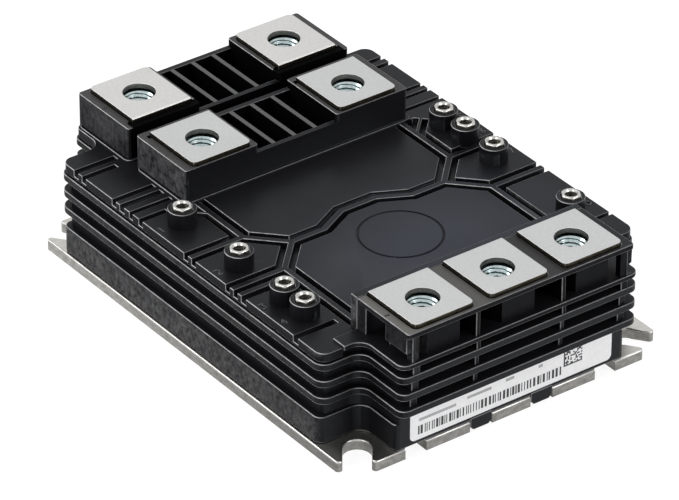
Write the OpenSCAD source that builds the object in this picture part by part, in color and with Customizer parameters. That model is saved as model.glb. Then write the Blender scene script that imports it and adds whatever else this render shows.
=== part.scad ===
// Half-bridge silicon carbide power module.
// A nickel-plated base plate carries the ceramic tiles with their chips. A ribbed frame and a lid close
// them in, and folded busbars rise through both to the screw terminals on top.
// The origin is the centre of the base plate's underside. +Y points to the DC end, -Y to the AC end.

/* [Base plate] */
// Width of the base plate
plate_x = 100; // [94:0.5:108]
// Length of the base plate
plate_y = 137; // [127:0.5:150]
// Thickness of the base plate
plate_t = 3; // [2:0.25:5]
// Distance of a corner slot's round end from the plate's long edge
slot_in_x = 7.75; // [7.2:0.05:8.2]
// Distance of a corner slot's round end from the plate's short edge
slot_in_y = 7.4; // [7:0.05:8]
// Width of a corner slot
slot_d = 7.2; // [6.4:0.1:7.6]
// Angle of a corner slot to the plate's short edge
slot_turn = 53; // [48:0.5:56]
// Rounding of the tips beside a corner slot
tip_r = 1; // [0.6:0.1:1.2]
// Distance of a clip notch in the short edges from the middle
clip_x = 9.5; // [8:0.1:11]
// Width of a clip notch
clip_w = 7; // [5:0.1:8]
// Depth of a clip notch
clip_d = 2.2; // [1.6:0.1:3]
// Distance of an open notch in the short edges from the middle
notch_x = 29.75; // [26:0.25:31]
// Width of an open notch
notch_w = 6.5; // [4:0.25:8]
// Depth of an open notch
notch_d = 4; // [2:0.25:6]

/* [Frame] */
// Step of the ribs behind the long edges of the base plate
frame_in = 0.5; // [0.2:0.1:1.5]
// Step of the ribbed shoulders behind the plate's AC end
shoulder_front_in = 12.6; // [11.5:0.1:14]
// Step of the ribbed shoulders behind the plate's DC end
shoulder_rear_in = 10.9; // [9.5:0.1:11.5]
// Step of the frame's two end noses behind the long edges
nose_in = 13; // [12:0.2:13.6]
// Overhang of the AC ribs past the plate's end
nose_over = 3.5; // [3.1:0.1:6]
// Overhang of the DC ribs and the DC tower past the plate's end
rear_over = 1; // [0.8:0.1:2]
// Step of the skirt's end walls behind the plate's ends
face_in = 0.2; // [0:0.1:1]
// Corner radius of the shoulders
corner_r = 3.4; // [2.5:0.1:5]
// Radius of the hollow corners between shoulder and nose
hollow_r = 3.5; // [2:0.1:4]
// Corner radius of the noses
nose_r = 2.6; // [2:0.1:4]
// Height of the frame's rim above the base plate
rim_h = 23.6; // [22:0.1:26]
// Height of the plain skirt above the base plate
skirt_h = 7.8; // [5:0.1:9]
// Thickness of a rib
rib_t = 1.95; // [1.5:0.05:2.4]
// Height from one rib to the next
rib_pitch = 4.9; // [4.2:0.05:5.1]
// Depth of the grooves between the ribs
groove_d = 1.8; // [1:0.1:2.4]
// Thickness of the frame's wall behind the grooves
wall_t = 2.2; // [1.6:0.1:2.8]
// Thickness of the adhesive under the frame
seal_t = 0.3; // [0.2:0.05:0.6]

/* [Lid] */
// Thickness of the lid
lid_t = 2.5; // [2.3:0.1:3.5]
// Shadow gap between rim and lid
lid_gap = 0.4; // [0.2:0.05:0.8]
// Step of the lid's edge behind the ribs
lid_in = 0.5; // [0.2:0.1:1]
// Width of a ridge in the lid's network
ridge_w = 1.6; // [1:0.1:2.4]
// Width of the groove on each side of a ridge
ridge_gap = 1.7; // [1:0.1:2.2]
// Depth of the lid's grooves
lid_groove_d = 1.8; // [1:0.1:2]
// Radius of the gate circle on the AC panel
gate_r = 10.9; // [8:0.1:12]
// Diameter of an auxiliary terminal's boss
boss_d = 7.5; // [6.8:0.1:8.5]
// Height of an auxiliary terminal's boss above the lid
boss_h = 4.5; // [4:0.1:7]

/* [Terminals] */
// Height of the terminal decks above the lid
deck_h = 9.35; // [9:0.05:12]
// Thickness of the busbar sheet
bus_t = 1.5; // [1.2:0.1:1.8]
// Height of the terminal tabs above their decks
tab_proud = 1.15; // [0.6:0.05:1.2]
// Gap between neighbouring AC tabs
tab_gap = 4.7; // [4:0.1:6.5]
// Diameter of the screw hole in a tab
tab_hole_d = 8.6; // [8.4:0.1:9]
// Distance between the rear and the front DC screws
dc_pitch_y = 28.05; // [27.5:0.05:30]
// Distance of the rear DC screws from the plate's DC end
dc_in = 9.5; // [9.45:0.05:9.7]
// Distance of the AC screws from the plate's AC end
ac_in = 6.9; // [6.7:0.05:7.3]
// Step of the terminal decks behind the noses
deck_in = 1.95; // [1.5:0.05:2.5]
// Distance of the outer tabs from the sides of their decks
tab_edge = 2.75; // [2.5:0.05:3.5]
// Width of a terminal nut across its flats
nut_af = 13; // [12.8:0.1:13.2]
// Height of a terminal nut
nut_h = 6.5; // [6:0.1:6.8]
// Gap between a terminal nut and its tab
nut_drop = 0.7; // [0:0.1:1.2]
// Core diameter of a terminal nut's thread
nut_bore_d = 6.8; // [6.4:0.1:7]
// Distance of the auxiliary terminals from the sides of the frame
aux_in = 8.3; // [8:0.1:9.5]
// Width of an auxiliary terminal's hexagon across its flats
aux_af = 4.8; // [4.5:0.1:5.2]
// Core diameter of an auxiliary terminal's thread
aux_bore_d = 2.5; // [2:0.1:2.8]

/* [Label] */
// Step of the label's ends behind the sides of the nose
label_in = 5.4; // [4:0.2:16]

/* [Inside] */
// Gap between the two columns of ceramic tiles
tile_gap_x = 4; // [2.5:0.25:5]
// Gap between the three rows of tiles
tile_gap_y = 2.5; // [1.5:0.25:3.5]
// Distance of the tiles from the frame's side walls
tile_side = 2.5; // [1.5:0.25:3.5]
// Distance of the tiles from the shoulders' end wall
tile_end = 2.9; // [1.5:0.1:4]
// Thickness of a ceramic tile
tile_t = 0.6; // [0.3:0.1:1]
// Thickness of a tile's copper layers
copper_t = 0.3; // [0.2:0.05:0.5]
// Side of a chip
die_w = 4; // [3:0.1:4.4]
// Thickness of a chip
die_t = 0.3; // [0.15:0.05:0.5]
// Diameter of a bond wire
wire_d = 0.4; // [0.3:0.05:0.6]
// Depth of the potting gel
gel_h = 14; // [8:0.5:15]

/* [Hidden] */
$fn = 64;
// Overlap of solids that are cut or joined
lap = 0.5;
// Clearance of a busbar, nut or pin in its housing
clear = 0.15;
// Growth of a circle that a straight edge runs into, so that the two cross
cross = 1.03;

// Plan, from the base plate
frame_x = plate_x - 2 * frame_in;
shoulder_front = plate_y / 2 - shoulder_front_in;
shoulder_rear = plate_y / 2 - shoulder_rear_in;
nose_x = plate_x - 2 * nose_in;
nose_front = plate_y / 2 + nose_over;
nose_rear = plate_y / 2 + rear_over;
face_end = plate_y / 2 - face_in;
notch_land = 0.7;
inner_end = plate_y / 2 - notch_d - notch_land;
skirt_side = 0.1;
skirt_in = 1;
clip_bevel = 1;
clip_foot = 0.25;

// Levels
frame_z = plate_t + seal_t;
skirt_z = plate_t + skirt_h;
rim_z = plate_t + rim_h;
lid_z = rim_z + lid_gap;
lid_top = lid_z + lid_t;
deck_z = lid_top + deck_h;
tab_z = deck_z + tab_proud;
seat_z = tab_z - bus_t;
nut_z = seat_z - nut_drop - nut_h;
sill_h = 3.5;
sill_z = rim_z + sill_h;
sill_t = 1.3;
rib_levels = [for (k = [0:2]) rim_z - k * rib_pitch];

// Terminal tabs: reach from the screw to the free edge, and to the fold
tab_free = 9.05;
rear_free = 9.6;
fold = 10.3;
fold_r = 0.5;
tab_r = 1.6;
deck_r = 0.8;
screw_room = 1;
// Recess in the decks beside a fold
relief = [0.9, 1.3, 2];

// Places of the terminals
deck_x = nose_x - 2 * deck_in;
tab_w = (deck_x - 2 * tab_edge - 2 * tab_gap) / 3;
ac_pitch_x = tab_w + tab_gap;
ac_y = plate_y / 2 - ac_in;
dc_x = ac_pitch_x;
dc_rear_y = plate_y / 2 - dc_in;
dc_front_y = dc_rear_y - dc_pitch_y;

// DC tower: two rows, open pockets between their pedestals
row_rim = 0.65;
row_room = 2;
row_front = [dc_front_y - tab_free - row_rim, dc_front_y + fold + row_room];
row_rear = [dc_rear_y - fold - row_room, nose_rear];
pedestal_rim = 1.5;
pedestal_in = dc_x - tab_w / 2 - pedestal_rim;
pocket_drop = 2.35;
pocket_top = deck_z - pocket_drop;
pocket_base = 1;
pocket_floor = lid_top + pocket_base;
pocket_wall = 1.5;
pocket_pitch = (2 * pedestal_in + pocket_wall) / 4;
tower_foot = 1;
tower_foot_h = 0.5;
tower_foot_r = 2;

// AC block: seam to the lid, bays, posts and nut bosses
seam_y = fold + clear - ac_y;
upstand_t = 2.7;
block_rim = 1.15;
block_front = ac_y + tab_free + block_rim;
deck_t = 1.5;
block_wall = 1.6;
bay_wall = 2;
bay_rear = seam_y - bus_t - bay_wall;
post_off = 1.75;
post_x = ac_pitch_x / 2 + post_off;
post_t = 1.2;
corner_post_in = 3.6;
corner_post_t = 2.1;
corner_post = [nose_x / 2 - corner_post_in - corner_post_t, nose_x / 2 - corner_post_in];
web_in = [0.3, 0.9, 1.4];
apron_in = 0.8;
apron_y = ac_y + apron_in;
apron_drop = 6;
nut_boss_wall = 2.1;
nut_boss_af = nut_af + 2 * nut_boss_wall;
pad_in = 7;
pad_x = frame_x / 2 - pad_in;

// Ridge network on the lid
net_y = -8.95;
net_half = 8.95;
net_rise = 4.4;
net_x = [5.35, 13.9, 24.05, 32.7];
// Slanted thin ridge beside the tower: start, reach and width, and the corner recess behind it
slant = [13.9, 5.5, 0.8];
slant_corner = [2.8, 1.75];
gate_off = 13.45;
gate_line = 0.35;

// Edge slots in the lid: middle, width and inner end
slot_end = deck_x / 2 + tower_foot + 0.75;
slots_left = [[dc_rear_y - 8.8, 1.9, slot_end], [dc_rear_y - 12.3, 1.7, frame_x / 2 - 10.5],
    [dc_front_y + 2.25, 1.7, slot_end], [dc_front_y - 1.25, 2, slot_end], [dc_front_y - 5.25, 1.4, slot_end],
    [dc_front_y - 9.55, 1.7, frame_x / 2 - 8.5], [-23, 2, frame_x / 2 - 9], [16.9 - ac_y, 1.9, slot_end]];
slots_right = [[dc_rear_y - 8.8, 1.5, slot_end], [dc_rear_y - 12.2, 1.5, slot_end],
    [dc_front_y + 2.05, 1.2, slot_end], [dc_front_y - 0.95, 1.2, slot_end], [dc_front_y - 5.95, 1.3, slot_end],
    [16 - ac_y, 1.3, slot_end]];

// Auxiliary terminals: place along the left and the right row
aux_x = frame_x / 2 - aux_in;
aux_left = [14.2, -10.3, -29.4, -37.9];
aux_right = [13.7, 4.5, -7.5, -39];
aux_sites = concat([for (y = aux_left) [-aux_x, y]], [for (y = aux_right) [aux_x, y]]);
aux_proud = 0.85;
aux_top = lid_top + boss_h + aux_proud;
aux_hex_h = 1.9;
aux_stem_d = 4.4;
aux_pin_d = 1.3;
aux_thread_h = 5;

// Label
label_x = nose_x - 2 * label_in;
label_t = 0.15;
label_z = frame_z + 1;
label_r = 1.5;
label_gap = 0.75;
label_h = rib_levels[2] - rib_t - label_gap - label_z;

// Substrates, from the frame's inner walls
tile_x = frame_x / 2 - groove_d - wall_t - tile_side - tile_gap_x / 2;
tile_y = (2 * (shoulder_front - groove_d - wall_t - tile_end) - 2 * tile_gap_y) / 3;
tile_pitch_x = tile_x + tile_gap_x;
tile_pitch_y = tile_y + tile_gap_y;
copper_z = plate_t + copper_t + tile_t;
track_z = copper_z + copper_t;
die_z = track_z + die_t;
copper_in = 0.75;
track_gap = 1;
track_end = 11;
track_l = tile_x / 2 + track_end;
track_w = (tile_y - 2 * copper_in - 2 * track_gap) / 3;
track_y = track_w + track_gap;
die_sites = [-13, -0.5, 4.1, 8.7];
die_low_y = 1.5;
wire_span = 7;
wire_x = 1;
thermistor_size = [2, 1.2, 0.8];
thermistor_y = 7;
tiles = [for (row = [-1:1]) for (side = [-1, 1]) [side, row]];

// Busbars inside: rails over the tiles and feet on their tracks
rail_drop = 6.6;
rail_z = rim_z - rail_drop;
strap_h = 6;
rail_w = 6.5;
rail_rear = [dc_x + tab_w / 2 - rail_w, dc_x + tab_w / 2];
rail_front = [dc_x - tab_w / 2, dc_x - tab_w / 2 + rail_w];
foot_w = 3;
toe_l = 3;
foot_in = 2.6;
foot_off = 1.73;
foot_rear = [dc_x + tab_w / 2 - rail_w / 2 - tile_pitch_x / 2, track_y + foot_off];
foot_front = [dc_x - tab_w / 2 + rail_w / 2 - tile_pitch_x / 2, -track_y];
foot_ac = [foot_in - tile_x / 2, 0];

function tile_place(t) = [t[0] * tile_pitch_x / 2, t[1] * tile_pitch_y];
function on_tile(t, p) = tile_place(t) + [t[0] * p[0], p[1]];

// Mitred offset of a bent line
function unit(v) = v / norm(v);
function left_of(a, b) = let (d = unit(b - a)) [-d[1], d[0]];
function mitre(p, i, d) =
    let (m = i == 0 ? left_of(p[0], p[1]) : left_of(p[i - 1], p[i]))
    let (n = i == len(p) - 1 ? m : left_of(p[i], p[i + 1]))
    let (u = unit(m + n))
    p[i] + u * d / (u * m);

module stroke(p, w) {
    last = len(p) - 1;
    polygon(concat([for (i = [0:last]) mitre(p, i, w / 2)], [for (i = [last:-1:0]) mitre(p, i, -w / 2)]));
}

module block(p, q) {
    translate(p) cube(q - p);
}

module rounded(x0, x1, y0, y1, r) {
    translate([x0 + r, y0]) square([x1 - x0 - 2 * r, y1 - y0]);
    translate([x0, y0 + r]) square([x1 - x0, y1 - y0 - 2 * r]);
    for (x = [x0 + r, x1 - r], y = [y0 + r, y1 - r]) translate([x, y]) circle(r);
}

module both_sides() {
    children();
    mirror([1, 0, 0]) children();
}

module hollow_corner(r) {
    difference() {
        translate([-lap, -lap]) square(r + lap);
        translate([r, r]) circle(r);
    }
}

// Plan of the housing: a wide body with a narrower nose at each end
module plan(half_x, front, rear, half_nose, nose_f, nose_b, rc, rh, rn) {
    rounded(-half_x, half_x, -front, rear, rc);
    rounded(-half_nose, half_nose, -nose_f, nose_b, rn);
    both_sides() {
        translate([half_nose, rear]) hollow_corner(rh);
        translate([half_nose, -front]) mirror([0, 1]) hollow_corner(rh);
    }
}

// Plan of the ribs, moved inwards
module rib_plan(i = 0) {
    plan(frame_x / 2 - i, shoulder_front - i, shoulder_rear - i, nose_x / 2 - i, nose_front - i, nose_rear - i,
        max(corner_r - i, lap), hollow_r + i, max(nose_r - i, lap));
}

// Plan of the wall behind the ribs
module wall_plan() {
    d = groove_d;
    plan(frame_x / 2 - d, shoulder_front - d, shoulder_rear - d, nose_x / 2 - d, face_end, nose_rear - d,
        max(corner_r - d, lap), hollow_r + d, max(nose_r - d, lap));
}

// Plan of the room inside, moved inwards; it ends before the plate's open notches
module inner_plan(i = 0) {
    d = groove_d + wall_t + i;
    plan(frame_x / 2 - d, shoulder_front - d, shoulder_rear - d, nose_x / 2 - d, inner_end - i, inner_end - i,
        lap, hollow_r + d, lap);
}

module skirt_plan() {
    i = skirt_in;
    plan(frame_x / 2 - skirt_side, shoulder_front - i, shoulder_rear - i, nose_x / 2 - i, face_end, face_end,
        corner_r - i, hollow_r, nose_r - i);
}

module front_part() {
    translate([-pad_x, -nose_front - lap]) square([2 * pad_x, nose_front + lap + seam_y]);
}

module lid_plan(i = 0) {
    d = lid_in + i;
    difference() {
        rib_plan(d);
        translate([-pad_x - i, -nose_front]) square([2 * (pad_x + i), nose_front + seam_y + i + clear]);
    }
}

// Cut that rounds a sharp tip, whose edges leave it at two angles
module tip_cut(from, to) {
    half = (to - from) / 2;
    reach = tip_r / tan(half);
    rotate((from + to) / 2) difference() {
        polygon([[-lap, 0], reach * [cos(half), -sin(half)], reach * [cos(half), sin(half)]]);
        translate([tip_r / sin(half), 0]) circle(tip_r * cross);
    }
}

// Corner slot of the base plate with its rounded tips, for the corner in +X and +Y
module corner_slot() {
    r = slot_d / 2;
    long_tip = (slot_in_x - r * sin(slot_turn)) / cos(slot_turn);
    short_tip = (slot_in_y - r * cos(slot_turn)) / sin(slot_turn);
    translate([plate_x / 2 - slot_in_x, plate_y / 2 - slot_in_y]) rotate(slot_turn) {
        circle(r * cross);
        translate([0, -r]) square([slot_in_x + slot_in_y, slot_d]);
        translate([long_tip, -r]) tip_cut(180, 270 - slot_turn);
        translate([short_tip, r]) tip_cut(180 - slot_turn, 180);
    }
}

// Clip notches and open notches in the plate's short edges
module end_notches() {
    for (m = [0, 1]) mirror([0, m]) both_sides() {
        translate([clip_x - clip_w / 2, plate_y / 2 - clip_d]) square([clip_w, clip_d + lap]);
        translate([notch_x - notch_w / 2, plate_y / 2 - notch_d]) square([notch_w, notch_d + lap]);
    }
}

module base_plate() color([0.74, 0.74, 0.72]) linear_extrude(plate_t) difference() {
    square([plate_x, plate_y], center = true);
    for (m = [0, 1]) mirror([0, m]) both_sides() corner_slot();
    end_notches();
}

module frame_seal() color([0.35, 0.35, 0.36]) translate([0, 0, plate_t]) linear_extrude(seal_t)
    difference() {
        wall_plan();
        inner_plan();
        end_notches();
    }

// Hook that reaches from the skirt into a clip notch
module clip() {
    w = clip_w / 2 - clear;
    bevel = clip_bevel;
    foot_z = clip_foot;
    translate([clip_x, plate_y / 2, 0]) rotate([90, 0, 0]) linear_extrude(clip_d - clear)
        polygon([[-w, frame_z + lap], [-w, foot_z + bevel], [bevel - w, foot_z], [w - bevel, foot_z],
            [w, foot_z + bevel], [w, frame_z + lap]]);
}

// Plan of a tab round its screw: free end with round corners towards +Y, fold towards -Y
module tab_plan(half, free, back) {
    rounded(-half, half, tab_r - back, free, tab_r);
    translate([-half, -back]) square([2 * half, back]);
}

// Turns what is drawn round a screw so that the fold lies on the given side
module at_screw(x, y, side) {
    translate([x, y, 0]) mirror([0, side > 0 ? 1 : 0, 0]) children();
}

// Seat, nut pocket, screw room and riser slot of a terminal tab; open widens the slot past the fold
module terminal_room(x, y, free, side, open = 0) {
    half = tab_w / 2 + clear;
    at_screw(x, y, side) {
        translate([0, 0, seat_z]) linear_extrude(tab_proud + lap) tab_plan(half, free + clear, fold);
        translate([0, 0, nut_z])
            cylinder(d = (nut_af + 2 * clear) / cos(30), h = seat_z - nut_z + lap, $fn = 6);
        translate([0, 0, lid_top - screw_room])
            cylinder(d = tab_hole_d, h = nut_z - lid_top + screw_room + lap);
        block([-half, -fold - clear - open, rim_z - lap], [half, bus_t + clear - fold, tab_z]);
    }
}

// Recess at both ends of a fold
module fold_relief(x, y, side) {
    half = tab_w / 2 + relief[0];
    at_screw(x, y, side)
        block([-half, -fold - clear, deck_z - relief[2]], [half, relief[1] - fold, tab_z]);
}

module ac_block() {
    half = deck_x / 2;
    z0 = sill_z - lap;
    z1 = deck_z - lap;
    translate([0, 0, sill_z - sill_t]) linear_extrude(sill_t) intersection() {
        rib_plan();
        front_part();
    }
    translate([0, 0, deck_z - deck_t]) linear_extrude(deck_t) {
        rounded(-half, half, -block_front, seam_y - deck_r, deck_r);
        translate([-half, bay_rear]) square([2 * half, seam_y - bay_rear]);
    }
    block([-half, bay_rear, z0], [half, seam_y, z1]);
    for (k = [-1:1]) translate([k * ac_pitch_x, -ac_y, z0])
        cylinder(d = nut_boss_af / cos(30), h = deck_z - sill_z, $fn = 6);
    both_sides() {
        block([post_x - post_t / 2, lap - block_front, z0], [post_x + post_t / 2, bay_rear + lap, z1]);
        block([corner_post[0], lap - block_front, z0],
            [corner_post[1], lap + corner_post_t - block_front, z1]);
        block([half - block_wall, deck_r - block_front, deck_z - apron_drop], [half, -apron_y, z1]);
    }
}

// Upright webs in the grooves of the AC nose, set back further in each lower groove
module front_webs() {
    tops = [sill_z, rib_levels[0], rib_levels[1]];
    for (k = [0:2]) both_sides() for (web = [[post_x - post_t / 2, post_x + post_t / 2], corner_post])
        block([web[0], web_in[k] - nose_front, rib_levels[k] - lap], [web[1], lap - face_end, tops[k] - lap]);
}

module housing_frame() color([0.09, 0.09, 0.1]) difference() {
    union() {
        translate([0, 0, frame_z]) linear_extrude(skirt_z - frame_z) skirt_plan();
        translate([0, 0, frame_z]) linear_extrude(rim_z - frame_z) wall_plan();
        for (z = rib_levels) translate([0, 0, z - rib_t]) linear_extrude(rib_t) rib_plan();
        translate([0, 0, rim_z - lap]) linear_extrude(sill_z - rim_z + lap) intersection() {
            wall_plan();
            front_part();
        }
        for (m = [0, 1]) mirror([0, m, 0]) both_sides() clip();
        front_webs();
        ac_block();
    }
    translate([0, 0, frame_z - lap]) linear_extrude(rim_z - frame_z + lap) inner_plan();
    for (k = [-1:1]) terminal_room(k * ac_pitch_x, -ac_y, tab_free, 1, lap);
}

// Lines of the ridge network on the right half of the lid, and of its slanted branch
module network(w, slant_w) {
    out = frame_x / 2 + lap;
    hub = [net_x[2], net_y];
    up = [net_x[3], net_y + net_half];
    down = [net_x[3], net_y - net_half];
    arch = [[-lap, net_y + net_rise], [net_x[0], net_y + net_rise], [net_x[1], net_y], hub];
    stroke(concat(arch, [up, [out, up[1]]]), w);
    stroke(concat(arch, [down, [out, down[1]]]), w);
    stroke([hub, up, [up[0], row_front[0] - tower_foot]], w);
    stroke([[up[0], slant[0]], [up[0] + slant[1], slant[0] + slant[1]]], slant_w);
    stroke([hub, down, [down[0], seam_y + upstand_t]], w);
}

module lid_grooves() {
    translate([0, 0, lid_top - lid_groove_d]) linear_extrude(lid_groove_d + lap) {
        both_sides() difference() {
            union() {
                network(ridge_w + 2 * ridge_gap, slant[2] + 2 * ridge_gap);
                translate([net_x[3] + ridge_w / 2, row_front[0] - tower_foot - slant_corner[1]])
                    square(slant_corner + [0, lap]);
            }
            network(ridge_w, slant[2]);
        }
        for (s = slots_left) translate([-frame_x / 2, s[0] - s[1] / 2]) square([frame_x / 2 - s[2], s[1]]);
        for (s = slots_right) translate([s[2], s[0] - s[1] / 2]) square([frame_x / 2 - s[2], s[1]]);
    }
    translate([0, net_y - gate_off, lid_top]) rotate_extrude() translate([gate_r, 0]) circle(gate_line);
}

module tower_row(row) {
    half = deck_x / 2;
    wide = half + tower_foot;
    translate([0, 0, lid_top - lap]) linear_extrude(pocket_top - lid_top + lap)
        rounded(-half, half, row[0], row[1], deck_r);
    both_sides() translate([0, 0, lid_top]) linear_extrude(deck_z - lid_top)
        rounded(pedestal_in, half, row[0], row[1], deck_r);
    translate([0, 0, lid_top - lap]) linear_extrude(tower_foot_h + lap)
        rounded(-wide, wide, row[0] - tower_foot, row[1] - tower_foot, tower_foot_r);
}

// Four open pockets between the pedestals of a row
module row_pockets(row) {
    w = pocket_pitch - pocket_wall;
    for (k = [-1.5:1:1.5])
        block([k * pocket_pitch - w / 2, row[0] + pocket_wall, pocket_floor],
            [k * pocket_pitch + w / 2, row[1] - pocket_wall, deck_z + lap]);
}

module housing_lid() color([0.1, 0.1, 0.11]) difference() {
    union() {
        difference() {
            union() {
                translate([0, 0, lid_z]) linear_extrude(lid_t) lid_plan();
                translate([0, 0, rim_z]) linear_extrude(lid_gap + lap) lid_plan(groove_d);
            }
            lid_grooves();
        }
        tower_row(row_front);
        tower_row(row_rear);
        block([-deck_x / 2, seam_y + clear, lid_top - lap], [deck_x / 2, seam_y + upstand_t, deck_z]);
        for (p = aux_sites) translate([p[0], p[1], lid_top - lap])
            cylinder(d = boss_d, h = boss_h + lap);
    }
    row_pockets(row_front);
    row_pockets(row_rear);
    for (s = [-1, 1]) {
        terminal_room(s * dc_x, dc_front_y, tab_free, 1);
        terminal_room(s * dc_x, dc_rear_y, rear_free, -1);
        fold_relief(s * dc_x, dc_front_y, 1);
        fold_relief(s * dc_x, dc_rear_y, -1);
    }
    for (p = aux_sites) translate([p[0], p[1], 0]) {
        translate([0, 0, rim_z - lap]) cylinder(d = aux_stem_d + 2 * clear, h = aux_top - rim_z);
        translate([0, 0, aux_top - aux_hex_h])
            cylinder(d = (aux_af + 2 * clear) / cos(30), h = aux_hex_h, $fn = 6);
    }
}

// Section of a tab and its fold: the fold's outer face at 0, the tab towards +X
module fold_section(reach, drop) {
    translate([fold_r, -bus_t]) square([reach - fold_r, bus_t]);
    translate([0, -drop]) square([bus_t, drop - fold_r]);
    translate([fold_r, -fold_r]) circle(fold_r);
}

// Terminal tab with its screw hole and the riser that carries it
module terminal_tab(x, y, free, side) {
    half = tab_w / 2;
    at_screw(x, y, side) difference() {
        intersection() {
            translate([-half, -fold, tab_z]) rotate([90, 0, 90]) linear_extrude(tab_w)
                fold_section(fold + free, tab_z - rim_z + lap);
            translate([0, 0, rim_z - lap]) linear_extrude(tab_z - rim_z + 2 * lap)
                tab_plan(half, free, fold + lap);
        }
        translate([0, 0, rim_z]) cylinder(d = tab_hole_d, h = tab_z);
    }
}

// Foot from a rail down to a track
module foot(p) {
    translate([p[0] - foot_w / 2, p[1] - bus_t / 2, track_z]) cube([foot_w, bus_t, rail_z - track_z + lap]);
    translate([p[0] - foot_w / 2, p[1] - toe_l / 2, track_z]) cube([foot_w, toe_l, bus_t]);
}

module rail(x, y) {
    block([x[0], min(y[0], y[1]), rail_z], [x[1], max(y[0], y[1]), rail_z + bus_t]);
}

// Upright cross strap that joins the risers of a busbar under the lid
module strap(half, y) {
    block([-half, y, rail_z], [half, y + bus_t, rail_z + strap_h]);
}

module riser_tail(x0, x1, y) {
    block([x0, y, rail_z], [x1, y + bus_t, rim_z]);
}

module dc_rear_busbar() color([0.84, 0.84, 0.82]) {
    y = dc_rear_y - fold;
    for (s = [-1, 1]) terminal_tab(s * dc_x, dc_rear_y, rear_free, -1);
    strap(rail_rear[1], y);
    both_sides() {
        riser_tail(rail_rear[0], rail_rear[1], y);
        rail(rail_rear, [y + lap, on_tile([1, -1], foot_rear)[1] - toe_l]);
    }
    for (t = tiles) foot(on_tile(t, foot_rear));
}

module dc_front_busbar() color([0.84, 0.84, 0.82]) {
    y = dc_front_y + fold - bus_t;
    for (s = [-1, 1]) terminal_tab(s * dc_x, dc_front_y, tab_free, 1);
    strap(rail_front[1], y);
    both_sides() {
        riser_tail(rail_front[0], rail_front[1], y);
        rail(rail_front, [y + lap, on_tile([1, -1], foot_front)[1] - toe_l]);
    }
    for (t = tiles) foot(on_tile(t, foot_front));
}

module ac_busbar() color([0.84, 0.84, 0.82]) {
    y = fold - ac_y - bus_t;
    half = ac_pitch_x + tab_w / 2;
    for (k = [-1:1]) {
        terminal_tab(k * ac_pitch_x, -ac_y, tab_free, 1);
        riser_tail(k * ac_pitch_x - tab_w / 2, k * ac_pitch_x + tab_w / 2, y);
    }
    strap(half, y);
    rail([-rail_w, rail_w], [y + lap, on_tile([1, 1], foot_ac)[1] + toe_l]);
    for (t = tiles) foot(on_tile(t, foot_ac));
}

module nut(x, y) {
    translate([x, y, nut_z]) difference() {
        cylinder(d = nut_af / cos(30), h = nut_h, $fn = 6);
        translate([0, 0, -lap]) cylinder(d = nut_bore_d, h = nut_h + 2 * lap);
    }
}

module dc_terminal_nuts() color([0.66, 0.7, 0.7]) {
    for (x = [-dc_x, dc_x], y = [dc_front_y, dc_rear_y]) nut(x, y);
}

module ac_terminal_nuts() color([0.66, 0.7, 0.7]) {
    for (k = [-1:1]) nut(k * ac_pitch_x, -ac_y);
}

module aux_terminal(p) color([0.82, 0.81, 0.77]) translate([p[0], p[1], 0]) difference() {
    union() {
        translate([0, 0, track_z]) cylinder(d = aux_pin_d, h = rim_z - track_z + lap);
        translate([0, 0, rim_z]) cylinder(d = aux_stem_d, h = aux_top - rim_z - lap);
        translate([0, 0, aux_top - aux_hex_h]) cylinder(d = aux_af / cos(30), h = aux_hex_h, $fn = 6);
    }
    translate([0, 0, aux_top - aux_thread_h]) cylinder(d = aux_bore_d, h = aux_thread_h + lap);
}

module label() color([0.93, 0.93, 0.92]) {
    translate([0, -face_end, label_z]) rotate([90, 0, 0]) linear_extrude(label_t)
        rounded(-label_x / 2, label_x / 2, 0, label_h, label_r);
}

module substrate(t) color([0.9, 0.9, 0.87]) {
    p = tile_place(t);
    translate([p[0], p[1], copper_z - tile_t / 2]) cube([tile_x, tile_y, tile_t], center = true);
}

// Tracks of a tile: front DC, AC and rear DC strips, and two pads for the gate and sense pins
module tracks() {
    x0 = copper_in - tile_x / 2;
    pad_l = tile_x / 2 - copper_in - track_end - track_gap;
    for (k = [-1:1]) translate([x0, k * track_y - track_w / 2]) square([track_l - copper_in, track_w]);
    pad_w = tile_y / 2 - copper_in - track_gap / 2;
    for (y = [track_gap / 2, copper_in - tile_y / 2]) translate([track_end + track_gap, y])
        square([pad_l, pad_w]);
}

module copper(t) color([0.72, 0.45, 0.3]) {
    p = tile_place(t);
    size = [tile_x - 2 * copper_in, tile_y - 2 * copper_in, copper_t];
    translate([p[0], p[1], plate_t + copper_t / 2]) cube(size, center = true);
    translate([p[0], p[1], copper_z]) mirror([t[0] > 0 ? 0 : 1, 0, 0]) linear_extrude(copper_t) tracks();
}

module dies(t) color([0.28, 0.3, 0.34]) {
    for (x = die_sites, y = [-track_y, die_low_y]) {
        p = on_tile(t, [x, y]);
        translate([p[0], p[1], track_z + die_t / 2]) cube([die_w, die_w, die_t], center = true);
    }
}

// Bond wire from a chip to the next track
module wire() {
    translate([0, wire_span / 2, die_z]) rotate([90, 0, 90]) rotate_extrude(angle = 180)
        translate([wire_span / 2, 0]) circle(d = wire_d);
    translate([0, wire_span, track_z]) cylinder(d = wire_d, h = die_t);
}

module wires(t) color([0.85, 0.85, 0.85]) {
    for (x = die_sites, y = [-track_y, die_low_y], dx = [-wire_x, wire_x]) {
        p = on_tile(t, [x + dx, y]);
        translate([p[0], p[1], 0]) wire();
    }
}

module thermistor() color([0.2, 0.2, 0.22]) {
    pad_middle = (track_end + track_gap + tile_x / 2 - copper_in) / 2;
    p = on_tile(tiles[5], [pad_middle, thermistor_y]);
    translate([p[0], p[1], track_z + thermistor_size[2] / 2]) cube(thermistor_size, center = true);
}

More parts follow.
